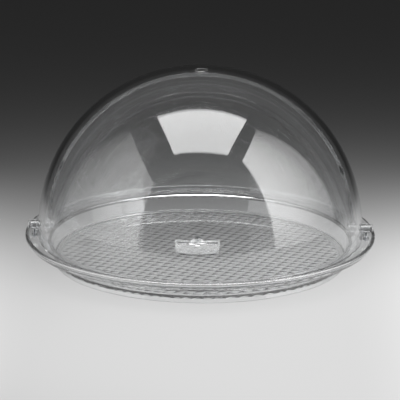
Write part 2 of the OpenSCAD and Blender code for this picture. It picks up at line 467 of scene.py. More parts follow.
def tongue_block(name: str, plan: Point, heights: Point, side: Side) -> Piece:
    """A block at one of the two places where the rear shell stands in the seat.

    Args:
        name: Name of the new object.
        plan: Its width along the seat and its thickness.
        heights: Heights of its lower and its upper face.
        side: The side that it is on.

    Returns:
        The block.
    """
    width, thick = plan
    low, high = heights
    near = TONGUE_RADIUS - thick / 2
    tongue = block(name, (near, -width / 2, low), (near + thick, width / 2, high))
    return place(tongue, (0, 0, QUARTER + side.value * TONGUE_ANGLE))


def hand_over(piece: Piece, body: Body, slot: Slot, finish: bpy.types.Material) -> Piece:
    """Gives a piece its finish and its body, and hides the node of its own name that it stands for.

    Args:
        piece: The finished mesh, named as its node with "_look" after it.
        body: The body that it rides on.
        slot: The record's material slot; not used.
        finish: Its material.

    Returns:
        The same piece.
    """
    piece.data.materials.clear()
    piece.data.materials.append(finish)
    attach(piece, body.value)
    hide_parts(piece.name.removesuffix("_look"))
    return piece


@dataclass(frozen=True)
class Layout:
    """Places that several pieces share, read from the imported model."""

    axis_height: float
    rim_radius: float
    rim_top: float
    seat_height: float
    front_radius: float
    rear_radius: float

    @classmethod
    def from_frame(cls) -> Layout:
        """Reads the places from the joint and from the nodes' boxes.

        Returns:
            The places.
        """
        hinge = frame["joints"][0]
        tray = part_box("tray")
        return cls(
            axis_height=hinge["pos_m"][2],
            rim_radius=tray[1][0],
            rim_top=tray[1][2],
            seat_height=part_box("hinge_post_left")[0][2],
            front_radius=-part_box("front_dome")[0][1],
            rear_radius=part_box("rear_dome")[1][1],
        )


class Nodes:
    """A short hand for building the node tree of a material, a light or the world."""

    def __init__(self, tree: bpy.types.NodeTree) -> None:
        """Empties a tree for a new set of nodes."""
        self.tree = tree
        tree.nodes.clear()

    def add(self, kind: str, **values: object) -> bpy.types.Node:
        """Adds a node and sets its properties.

        Args:
            kind: The node's type, without the leading Shader Node.
            values: Properties by name.

        Returns:
            The new node.
        """
        node = self.tree.nodes.new("ShaderNode" + kind)
        for name, value in values.items():
            setattr(node, name, value)
        return node

    def link(self, start: Socket | float, end: Socket) -> None:
        """Joins two sockets, or gives the second one a number.

        Args:
            start: The socket or the number.
            end: The socket that takes it.
        """
        if isinstance(start, Socket):
            self.tree.links.new(start, end)
        else:
            end.default_value = start

    def here(self) -> Socket:
        """The place on the piece, in its own coordinates."""
        return self.add("TexCoord").outputs["Object"]

    def axis(self, where: Socket, name: str) -> Socket:
        """One coordinate of a place.

        Args:
            where: The place.
            name: X, Y or Z.

        Returns:
            The coordinate.
        """
        split = self.add("SeparateXYZ")
        self.link(where, split.inputs["Vector"])
        return split.outputs[name]

    def math(self, operation: str, one: Socket | float, two: Socket | float = 0.0) -> Socket:
        """Works out a number from one or two others.

        Args:
            operation: What is done with them.
            one: The first number or its socket.
            two: The second one.

        Returns:
            The result.
        """
        step = self.add("Math", operation=operation)
        self.link(one, step.inputs[0])
        self.link(two, step.inputs[1])
        return step.outputs["Value"]

    def vector(self, operation: str, one: Socket, two: Sequence[float] = ZERO) -> bpy.types.Node:
        """Works with a place or a direction.

        Args:
            operation: What is done with it.
            one: The place or direction.
            two: A second one, where the operation has it.

        Returns:
            The node, with its result as a Vector or a Value.
        """
        step = self.add("VectorMath", operation=operation)
        self.link(one, step.inputs[0])
        step.inputs[1].default_value = two
        return step

    def remap(
        self, value: Socket, span: Point, levels: Point = RISE, kind: str = "LINEAR"
    ) -> Socket:
        """Maps a span of values onto another one, and holds the ends beyond it.

        Args:
            value: The value to map.
            span: Where it starts and ends.
            levels: What stands for the start and the end.
            kind: The course between them.

        Returns:
            The mapped value.
        """
        reach = self.add("MapRange", interpolation_type=kind)
        names = ("From Min", "From Max", "To Min", "To Max")
        for name, number in zip(names, (*span, *levels)):
            reach.inputs[name].default_value = number
        self.link(value, reach.inputs["Value"])
        return reach.outputs["Result"]

    def spots(self, scale: float, detail: float) -> Socket:
        """A soft noise in the piece's own coordinates.

        Args:
            scale: Spots per metre.
            detail: Octaves.

        Returns:
            The noise's socket, from 0 to 1.
        """
        noise = self.add("TexNoise")
        noise.inputs["Scale"].default_value = scale
        noise.inputs["Detail"].default_value = detail
        self.link(self.here(), noise.inputs["Vector"])
        return noise.outputs["Fac"]

    def shade(self, source: Socket, one: Colour, two: Colour) -> Socket:
        """Maps a noise onto a run between two colours.

        Args:
            source: The noise.
            one: The colour at its low values.
            two: The colour at its high values.

        Returns:
            The colour.
        """
        ramp = self.add("ValToRGB")
        for stop, at, colour in zip(ramp.color_ramp.elements, RAMP_STOPS, (one, two)):
            stop.position = at
            stop.color = (*colour, 1)
        self.link(source, ramp.inputs["Fac"])
        return ramp.outputs["Color"]

    def dents(self, source: Socket, height: float) -> Socket:
        """A bump of a real height from a noise.

        Args:
            source: The noise.
            height: The bump's height.

        Returns:
            The bent normal.
        """
        bump = self.add("Bump")
        bump.inputs["Strength"].default_value = 1.0
        bump.inputs["Distance"].default_value = height
        self.link(source, bump.inputs["Height"])
        return bump.outputs["Normal"]


def new_material(name: str) -> tuple[bpy.types.Material, Nodes]:
    """A new material and its empty node tree.

    Args:
        name: The material's name.

    Returns:
        The material and its nodes.
    """
    material = bpy.data.materials.new(name)
    material.use_nodes = True
    return material, Nodes(material.node_tree)


@dataclass(frozen=True)
class ClearPlastic:
    """Clear moulded plastic, polished or satin, with faint scuffs and the slow waves of moulding.

    Where it has a worn height, it is rubbed dull below that height, most of all at the table.
    """

    name: str
    tint: Colour = (0.985, 0.99, 0.992)
    shade: Colour = (0.97, 0.976, 0.98)
    bend: float = 1.55
    clearness: float = 1.0
    smoke: float = 16.0
    smoke_tint: Colour = (0.5, 0.5, 0.5)
    polish: Point = (0.0, 0.012)
    scuff_scale: float = 90.0
    scuff_detail: float = 6.0
    wave_scale: float = 22.0
    wave_detail: float = 1.0
    wave_height: float = 0.02 * MM
    worn_height: float = 0.0
    worn_polish: float = 0.35

    def material(self) -> bpy.types.Material:
        """Builds the plastic's material.

        Returns:
            The material.
        """
        material, nodes = new_material(self.name)
        out = nodes.add("OutputMaterial")
        plastic = nodes.add("BsdfPrincipled")
        plastic.inputs["Transmission Weight"].default_value = self.clearness
        plastic.inputs["IOR"].default_value = self.bend
        depth = nodes.add("VolumeAbsorption")
        depth.inputs["Color"].default_value = (*self.smoke_tint, 1)
        depth.inputs["Density"].default_value = self.smoke
        waves = nodes.spots(self.wave_scale, self.wave_detail)
        nodes.link(nodes.shade(waves, self.tint, self.shade), plastic.inputs["Base Color"])
        scuffs = nodes.spots(self.scuff_scale, self.scuff_detail)
        polish = nodes.remap(scuffs, NOISE_SPAN, self.polish)
        if self.worn_height:
            height = nodes.axis(nodes.here(), "Z")
            worn = nodes.remap(height, (0.0, self.worn_height), (self.worn_polish, 0.0))
            polish = nodes.math("MAXIMUM", polish, worn)
        nodes.link(polish, plastic.inputs["Roughness"])
        nodes.link(nodes.dents(waves, self.wave_height), plastic.inputs["Normal"])
        nodes.link(plastic.outputs["BSDF"], out.inputs["Surface"])
        nodes.link(depth.outputs["Volume"], out.inputs["Volume"])
        return material


@dataclass(frozen=True)
class ScrewSteel:
    """Stainless steel darkened overall as painted shade for its threads and recess, with turning
    marks and handling stains.
    """

    name: str = "screw_steel"
    # Both tones are far darker than plain steel: painted shade for the threads and the recess; the
    # spread between them is stains
    bright: Colour = (0.36, 0.37, 0.39)
    dull: Colour = (0.2, 0.21, 0.23)
    polish: Point = (0.22, 0.4)
    stain_scale: float = 420.0
    stain_detail: float = 4.0
    mark_scale: float = 2600.0
    mark_detail: float = 2.0
    mark_height: float = 0.01 * MM

    def material(self) -> bpy.types.Material:
        """Builds the steel's material.

        Returns:
            The material.
        """
        material, nodes = new_material(self.name)
        out = nodes.add("OutputMaterial")
        steel = nodes.add("BsdfPrincipled")
        steel.inputs["Metallic"].default_value = 1.0
        stains = nodes.spots(self.stain_scale, self.stain_detail)
        marks = nodes.spots(self.mark_scale, self.mark_detail)
        nodes.link(nodes.shade(stains, self.bright, self.dull), steel.inputs["Base Color"])
        nodes.link(nodes.remap(stains, NOISE_SPAN, self.polish), steel.inputs["Roughness"])
        nodes.link(nodes.dents(marks, self.mark_height), steel.inputs["Normal"])
        nodes.link(steel.outputs["BSDF"], out.inputs["Surface"])
        return material


@dataclass
class Finishes:
    """The finishes of all pieces."""

    tray: bpy.types.Material = field(init=False)
    shell: bpy.types.Material = field(init=False)
    fittings: bpy.types.Material = field(init=False)
    steel: bpy.types.Material = field(init=False)

    def __post_init__(self) -> None:
        """Builds each material once."""
        self.tray = ClearPlastic("clear_tray", smoke=8.0, worn_height=0.6 * MM).material()
        self.shell = ClearPlastic("clear_shell", smoke=4.0, wave_scale=12.0).material()
        satin = ClearPlastic(
            "clear_fittings", polish=(0.06, 0.16), scuff_scale=400.0, wave_scale=160.0
        )
        self.fittings = satin.material()
        self.steel = ScrewSteel().material()


@dataclass
class Tray:
    """The round tray: raised rim, seat, sloping wall, foot ring and a waffle under the floor."""

    layout: Layout
    finishes: Finishes
    rim_thickness: float = 4.5 * MM
    rim_steps: int = 20
    wall: float = 4 * MM
    lip_width: float = 6.2 * MM
    seat_inner_radius: float = 162.3 * MM
    floor_depth: float = 17 * MM
    wall_draft: float = math.radians(16.4)
    floor_fillet: float = 2 * MM
    foot_width: float = 6.5 * MM
    edge_round: float = 0.2 * MM
    lip_round: float = 0.3 * MM
    under_round: float = 0.4 * MM
    waffle_pitch: float = 10 * MM
    waffle_depth: float = 1.5 * MM
    waffle_land: float = 0.12 * MM
    waffle_margin: float = 3 * MM
    waffle_turn: float = math.radians(-24)
    facet_angle: float = math.radians(18)
    screw_hole_radius: float = 1.9 * MM
    screw_at: float = 180.3 * MM
    slot_plan: Point = (12.4 * MM, 2.9 * MM)
    slot_depth: float = 3.2 * MM

    def wall_radius(self, height: float) -> float:
        """Radius of the wall's inner face at a height."""
        below = self.layout.seat_height - height
        return self.seat_inner_radius - below * math.tan(self.wall_draft)

    @property
    def floor_top(self) -> float:
        """Height of the floor's upper face."""
        return self.layout.seat_height - self.floor_depth

    @property
    def floor_bottom(self) -> float:
        """Height of the floor's lower face."""
        return self.floor_top - self.wall

    @property
    def foot_outer(self) -> float:
        """Outer radius of the foot ring on the table."""
        return self.wall_radius(0) + self.wall / math.cos(self.wall_draft)

    def tangent_angle(self, point: Point, bead: Point, radius: float, turn: int) -> float:
        """Angle at which a line from a point touches the rim's bead.

        Args:
            point: The point.
            bead: The bead's centre.
            radius: The bead's radius.
            turn: Which of the two lines: 1 or -1.

        Returns:
            The angle, in degrees.
        """
        away = Vector(point) - Vector(bead)
        lean = math.acos(radius / away.length)
        return math.degrees(math.atan2(away.y, away.x) + turn * lean)

    def section(self) -> list[Point]:
        """Half section of the tray without its waffle.

        Returns:
            Points from the middle of the floor's upper face to the middle of its lower face.
        """
        seat = self.layout.seat_height
        under_seat = seat - self.wall
        bead_radius = self.rim_thickness / 2
        bead = (self.layout.rim_radius - bead_radius, self.layout.rim_top - bead_radius)
        lip_top = (self.layout.rim_radius - self.lip_width, seat)
        lip_bottom = (lip_top[0] + self.wall / 2, under_seat)
        start = self.tangent_angle(lip_top, bead, bead_radius, -1) % 360
        end = self.tangent_angle(lip_bottom, bead, bead_radius, 1)
        rim = arc(bead, bead_radius, start, end, self.rim_steps)
        thick = self.wall / math.cos(self.wall_draft)
        foot_inner = self.foot_outer - self.foot_width
        soft = self.edge_round
        upper = [
            (0, self.floor_top, 0),
            (self.wall_radius(self.floor_top), self.floor_top, self.floor_fillet),
            (self.seat_inner_radius, seat, soft),
            (*lip_top, self.lip_round),
            (*rim[0], 0),
        ]
        lower = [
            (*rim[-1], 0),
            (*lip_bottom, self.under_round),
            (self.wall_radius(under_seat) + thick, under_seat, self.under_round),
            (self.foot_outer, 0, soft),
            (foot_inner, 0, soft),
            (foot_inner, self.floor_bottom, soft),
            (0, self.floor_bottom, 0),
        ]
        return outline(upper, False) + rim[1:-1] + outline(lower, False)

    def waffle_tool(self) -> Piece:
        """A round plate of small pyramids that presses the waffle into the floor's lower face.

        Returns:
            The plate.
        """
        radius = self.foot_outer - self.foot_width - self.waffle_margin
        cells = 2 * math.ceil(radius / self.waffle_pitch) + 1
        level = self.floor_bottom - self.waffle_land
        deselect()
        bpy.ops.mesh.primitive_grid_add(
            x_subdivisions=cells,
            y_subdivisions=cells,
            size=cells * self.waffle_pitch,
            location=(0, 0, level),
            rotation=(0, 0, self.waffle_turn),
        )
        waffle = bpy.context.object
        settle(waffle)
        edit(waffle, "FACE")
        bpy.ops.mesh.poke(offset=self.waffle_depth + self.waffle_land)
        bpy.ops.mesh.select_all(action="SELECT")
        down = (0, 0, -2 * self.wall)
        bpy.ops.mesh.extrude_region_move(TRANSFORM_OT_translate={"value": down})
        heal(waffle)
        edge = rod("waffle_edge", radius, level - self.wall, self.floor_top, ROUND_STEPS)
        combine(waffle, edge, Join.KEEP)
        return waffle

    def build(self) -> list[Piece]:
        """Turns the tray, presses its waffle and cuts its slots and holes.

        Returns:
            The tray.
        """
        tray = lathe("tray_look", self.section(), ROUND_STEPS)
        combine(tray, self.waffle_tool(), Join.CUT)
        seat = self.layout.seat_height
        depths = (seat - self.slot_depth, seat + self.slot_depth)
        for side in Side:
            hole = rod("hole", self.screw_hole_radius, seat - 2 * self.wall, seat + self.wall)
            place(hole, shift=(side.value * self.screw_at, 0, 0))
            combine(tray, hole, Join.CUT)
            combine(tray, tongue_block("slot", self.slot_plan, depths, side), Join.CUT)
        smooth(tray, self.facet_angle)
        return [hand_over(tray, Body.BASE, Slot.TRAY, self.finishes.tray)]


@dataclass
class Shell:
    """One of the dome's two shells: part of a hollow sphere about the pivot axis, with two ears."""

    layout: Layout
    finishes: Finishes
    name: str
    body: Body
    radius: float
    wall: float
    base_drop: float
    edge_angle: float
    forward: int
    bore: float
    ear_radius: float = 9 * MM
    ear_proud: float = 0.2 * MM
    ear_round: float = 0.4 * MM
    pole_radius: float = 8 * MM
    edge_round: float = 0.9 * MM
    round_steps: int = 3
    arc_steps: int = 128
    turn_steps: int = 128
    end_facing: float = 0.99

    def section(self) -> list[Corner]:
        """Section of the wall, hanging straight down from the pivot axis.

        Returns:
            Points from pole to pole outside, and back inside.
        """
        points = []
        for radius, flip in ((self.radius, 1), (self.radius - self.wall, -1)):
            pole = math.degrees(math.asin(self.pole_radius / radius))
            half = arc((0, 0), radius, 180 + pole, 360 - pole, self.arc_steps)
            points += half[::flip]
        return [(x, 0, z) for x, z in points]

    def round_end(self, shell: Piece, normal: Vector) -> None:
        """Rounds the edges of the wall's flat end, which is set back from its place.

        Args:
            shell: The wall.
            normal: The direction that the end faces.
        """

        def at_end(face: bpy.types.MeshPolygon) -> bool:
            """Whether a face lies in the flat end."""
            facing = face.normal.dot(normal) > self.end_facing
            return facing and abs(face.center.dot(normal)) < AIR

        pick_faces(shell, at_end)
        angles = [QUARTER * i / self.round_steps for i in range(self.round_steps + 1)]
        for here, there in pairwise(angles):
            bpy.ops.mesh.inset(
                thickness=self.edge_round * (math.cos(here) - math.cos(there)),
                depth=self.edge_round * (math.sin(there) - math.sin(here)),
                use_even_offset=False,
            )
        bpy.ops.object.mode_set(mode="OBJECT")

    def wall_piece(self) -> Piece:
        """The bare wall about the origin: spun, cut level at its base, with rounded ends.

        Returns:
            The wall.
        """
        shell = chain(self.name + "_look", self.section(), True)
        swing = math.radians(90 + self.edge_angle)
        back_off = self.edge_round / self.radius
        bpy.ops.mesh.spin(
            steps=self.turn_steps,
            angle=self.forward * (swing - back_off),
            center=ZERO,
            axis=(1, 0, 0),
        )
        bpy.ops.mesh.select_all(action="SELECT")
        bpy.ops.mesh.fill_holes(sides=0)
        heal(shell)
        edit(shell)
        bpy.ops.mesh.bisect(
            plane_co=(0, 0, -self.base_drop), plane_no=(0, 0, 1), use_fill=True, clear_inner=True
        )
        bpy.ops.object.mode_set(mode="OBJECT")
        heal(shell)
        end = math.radians(self.edge_angle) - back_off
        self.round_end(shell, Vector((0, self.forward * math.sin(end), math.cos(end))))
        return shell

    def ear(self, side: Side) -> Piece:
        """One of the flat discs that the pin goes through.

        Args:
            side: The side that it is on.

        Returns:
            The disc.
        """
        faces = (self.radius - self.wall - self.ear_proud, self.radius + self.ear_proud)
        ear = ring("ear", (self.bore, self.ear_radius), faces, self.ear_round)
        return place(ear, (0, side.value * QUARTER, 0))

    def extras(self, shell: Piece) -> None:
        """Adds what only one of the shells has."""

    def build(self) -> list[Piece]:
        """Builds the shell at its place.

        Returns:
            The shell.
        """
        shell = self.wall_piece()
        for side in Side:
            combine(shell, self.ear(side), Join.ADD)
        self.extras(shell)
        place(shell, shift=(0, 0, self.layout.axis_height))
        smooth(shell)
        return [hand_over(shell, self.body, Slot.SHELL, self.finishes.shell)]


@dataclass
class RearShell(Shell):
    """The fixed shell, with two tongues in the seat."""

    tongue_plan: Point = (12 * MM, 2.5 * MM)
    tongue_depth: float = 3 * MM

    def extras(self, shell: Piece) -> None:
        """Adds the tongues under the shell's base.

        Args:
            shell: The shell about the origin.
        """
        base = -self.base_drop
        heights = (base - self.tongue_depth, base + self.tongue_plan[1])
        for side in Side:
            combine(shell, tongue_block("tongue", self.tongue_plan, heights, side), Join.ADD)


@dataclass
class FrontShell(Shell):
    """The rolling shell, with a low boss inside its top and the hole of the handle's screw."""

    boss_radius: float = 6.5 * MM
    boss_depth: float = 1.5 * MM
    boss_round: float = 1.3 * MM
    screw_hole_radius: float = 2.15 * MM
    handle_turn: float = QUARTER - HANDLE_ANGLE

    def extras(self, shell: Piece) -> None:
        """Adds the boss and cuts the hole.

        Args:
            shell: The shell about the origin.
        """
        inside = self.radius - self.wall
        low = inside - self.boss_depth
        high = self.radius - self.wall / 2
        side = [(self.boss_radius, low, self.boss_round), (self.boss_radius, high, 0)]
        boss = outline([(0, low, 0), *side, (0, high, 0)], False)
        combine(shell, lathe("boss", boss), Join.ADD)
        ends = (inside - self.wall, self.radius + self.wall)
        hole = rod("hole", self.screw_hole_radius, *ends)
        combine(shell, place(hole, (self.handle_turn, 0, 0)), Join.CUT)


@dataclass
class Screw:
    """A screw with a round head, a cross recess and a ridged shank, along Z from its head."""

    name: str
    shank_radius: float
    head_radius: float
    head_thickness: float
    length: float
    pitch: float
    plain: float
    ridge: float = 0.3 * MM
    crown_share: float = 0.4
    head_round: float = 0.2 * MM
    recess_depth: float = 1.3 * MM
    recess_width: float = 1.0 * MM
    recess_share: float = 0.62
    steps: int = 48

    def section(self) -> list[Point]:
        """Half section of the screw without its recess.

        Returns:
            Points from the middle of the head's face to the middle of the tip.
        """
        head = [
            (0, 0, 0),
            (self.head_radius, 0, self.crown_share * self.head_thickness),
            (self.head_radius, self.head_thickness, self.head_round),
            (self.shank_radius, self.head_thickness, 0),
        ]
        end = self.head_thickness + self.length
        start = self.head_thickness + self.plain
        turns = int((end - start - self.pitch) / self.pitch)
        points = outline(head, False) + [(self.shank_radius, start)]
        for i in range(turns):
            points.append((self.shank_radius - self.ridge, start + (i + 0.5) * self.pitch))
            points.append((self.shank_radius, start + (i + 1) * self.pitch))
        return points + [(self.shank_radius - 2 * self.ridge, end), (0, end)]

    def build(self) -> Piece:
        """Turns the screw and cuts its recess.

        Returns:
            The screw.
        """
        screw = lathe(self.name, self.section(), self.steps)
        arm = self.recess_share * self.head_radius
        half = self.recess_width / 2
        for x, y in ((arm, half), (half, arm)):
            slot = block("recess", (-x, -y, -MM), (x, y, self.recess_depth))
            combine(screw, slot, Join.CUT)
        smooth(screw)
        return screw


@dataclass
class Handle:
    """The hollow pull on the front shell, its screw and the washer inside the dome.

    Its own frame has X across, Y up and Z outwards along the screw, from the pivot axis.
    """

    layout: Layout
    finishes: Finishes
    angle: float = HANDLE_ANGLE
    width: float = 46 * MM
    wall: float = 2.5 * MM
    reach: float = 14.3 * MM
    lean: float = math.radians(33)
    back_lean: float = math.radians(8)
    back_set: float = 1 * MM
    face_height: float = 10.2 * MM
    belly: float = 1.5 * MM
    belly_steps: int = 24
    roof_slope: float = math.radians(22)
    roof_drop: float = 2 * MM
    corner: float = 7 * MM
    back_gap: float = 1.2 * MM
    boss_top: float = 8.4 * MM
    boss_foot: float = 20 * MM
    boss_rise: float = 3.2 * MM
    boss_drop: float = 4 * MM
    boss_set: float = 0.3 * MM
    boss_round: float = 2 * MM
    screw_radius: float = 2 * MM
    screw_grip: float = 3.5 * MM
    screw_pitch: float = 0.7 * MM
    screw_head_radius: float = 4 * MM
    screw_head_thick: float = 2.8 * MM
    washer_radius: float = 6 * MM
    washer_thick: float = 1.2 * MM
    shell_wall: float = FRONT_WALL
    curve_gap: float = 0.05 * MM
    edge_round: float = 0.5 * MM
    lens_spread: float = 12
    lens_steps: int = 48
    lens_foot: float = 0.9

    def stand(self, piece: Piece) -> Piece:
        """Turns a piece from the handle's own frame to its place on the dome."""
        return place(piece, (QUARTER - self.angle, 0, 0), (0, 0, self.layout.axis_height))

    @property
    def face_low(self) -> float:
        """Distance of the face's lower edge from the pivot axis."""
        return self.layout.front_radius + self.reach

    @property
    def face_top(self) -> float:
        """Distance of the face's upper edge from the pivot axis."""
        return self.face_low - self.face_height * math.tan(self.lean)

    @property
    def back(self) -> float:
        """Distance at which the handle's shapes start, inside the dome's wall."""
        return self.layout.front_radius - self.shell_wall

    @property
    def low(self) -> float:
        """Depth of the belly below the screw's axis."""
        return self.roof_drop + self.face_height + self.belly

    @property
    def washer_top(self) -> float:
        """Distance of the washer's outer face from the pivot axis."""
        return math.sqrt(self.back**2 - self.washer_radius**2) - self.curve_gap

    def front_block(self) -> Piece:
        """The handle's outline from the front, with its belly, as a block.

        Returns:
            The block.
        """
        half = self.width / 2
        curve = (half**2 + self.belly**2) / (2 * self.belly)
        spread = math.degrees(math.asin(half / curve))
        below = arc((0, curve - self.low), curve, 270 - spread, 270 + spread, self.belly_steps)
        top = [(half, self.boss_rise), (-half, self.boss_rise)]
        front = slab("handle_look", [*top, *below], self.reach + 2 * self.shell_wall)
        return place(front, shift=(0, 0, self.back))

    def plan_block(self, inset: float) -> Piece:
        """The handle's outline from above as a block.

        Args:
            inset: How much smaller it is.

        Returns:
            The block.
        """
        half = self.width / 2 - inset
        front = self.face_low - inset
        turn = self.corner - inset
        ends = [(half, front, turn), (-half, front, turn)]
        plan = outline([(-half, self.back, 0), (half, self.back, 0), *ends], True)
        tall = 4 * self.low
        return place(slab("plan", plan, tall), (QUARTER, 0, 0), (0, tall / 2, 0))

    def roof_block(self, height: float, at: float, lean: float) -> Piece:
        """A block with the handle's roof and a leaning face.

        Args:
            height: Height of the corner between them.
            at: Distance of that corner from the pivot axis.
            lean: Lean of the face from upright.

        Returns:
            The block.
        """
        low = (height - self.width, at + self.width * math.tan(lean))
        back = (height + self.width * math.tan(self.roof_slope), at - self.width)
        side = slab("roof", [(height, at), low, (low[0], back[1]), back], 2 * self.width)
        return place(side, (QUARTER, 0, QUARTER), (-self.width, 0, 0))

    def dome_tool(self, gap: float) -> Piece:
        """A lens of the dome's surface, which shapes the handle's back.

        Args:
            gap: How much larger than the dome it is.

        Returns:
            The lens.
        """
        radius = self.layout.front_radius + gap
        cap = arc((0, 0), radius, 90, 90 - self.lens_spread, self.lens_steps)
        low = self.lens_foot * radius
        return lathe("dome_tool", [*cap, (cap[-1][0], low), (0, low)], ROUND_STEPS)

    def pull(self) -> Piece:
        """The hollow pull: a leaning face, a roof and two rounded ends, open below and behind.

        Returns:
            The pull without its boss.
        """
        pull = self.front_block()
        combine(pull, self.plan_block(0), Join.KEEP)
        combine(pull, self.roof_block(-self.roof_drop, self.face_top, self.lean), Join.KEEP)
        soften(pull, self.edge_round)
        below = self.wall / math.cos(self.roof_slope)
        hollow = self.plan_block(self.wall)
        corner = (-self.roof_drop - below, self.face_top - self.back_set)
        combine(hollow, self.roof_block(*corner, self.back_lean), Join.KEEP)
        combine(pull, hollow, Join.CUT)
        combine(pull, self.dome_tool(self.back_gap), Join.CUT)
        return pull

    def boss(self) -> Piece:
        """The boss that the screw holds to the dome, with a front that leans like the face.

        Returns:
            The boss.
        """
        top, foot = self.boss_top / 2, self.boss_foot / 2
        right = [
            (foot, -self.boss_drop, 0),
            (foot, -self.roof_drop, 0),
            (top, self.boss_rise, self.boss_round),
        ]
        left = [(-x, y, radius) for x, y, radius in reversed(right)]
        boss = slab("boss", outline([*right, *left], True), self.face_low - self.back)
        place(boss, shift=(0, 0, self.back))
        high = 2 * self.boss_rise
        at = self.face_top - self.boss_set - (high + self.roof_drop) * math.tan(self.lean)
        combine(boss, self.roof_block(high, at, self.lean), Join.KEEP)
        soften(boss, self.edge_round)
        combine(boss, self.dome_tool(self.curve_gap), Join.CUT)
        return boss

    def build(self) -> list[Piece]:
        """Builds the handle, its washer and its screw.

        Returns:
            The three pieces.
        """
        tip = self.layout.front_radius + self.screw_grip
        bore = self.screw_radius + FIT_GAP
        handle = self.pull()
        combine(handle, self.boss(), Join.ADD)
        combine(handle, rod("bore", bore, self.back, tip + TIP_GAP), Join.CUT)

        low = self.washer_top - self.washer_thick
        radii = (bore, self.washer_radius)
        washer = ring("handle_washer_look", radii, (low + AIR, self.washer_top), WASHER_ROUND)
        for clear in (handle, washer):
            smooth(clear)

        screw = Screw(
            name="handle_screw_look",
            shank_radius=self.screw_radius,
            head_radius=self.screw_head_radius,
            head_thickness=self.screw_head_thick,
            length=tip - low,
            pitch=self.screw_pitch,
            plain=self.washer_thick + self.shell_wall,
        ).build()
        place(screw, shift=(0, 0, low - self.screw_head_thick))
        fittings = (Body.COVER, Slot.FITTINGS, self.finishes.fittings)
        return [
            hand_over(self.stand(handle), *fittings),
            hand_over(self.stand(washer), *fittings),
            hand_over(self.stand(screw), Body.COVER, Slot.STEEL, self.finishes.steel),
        ]


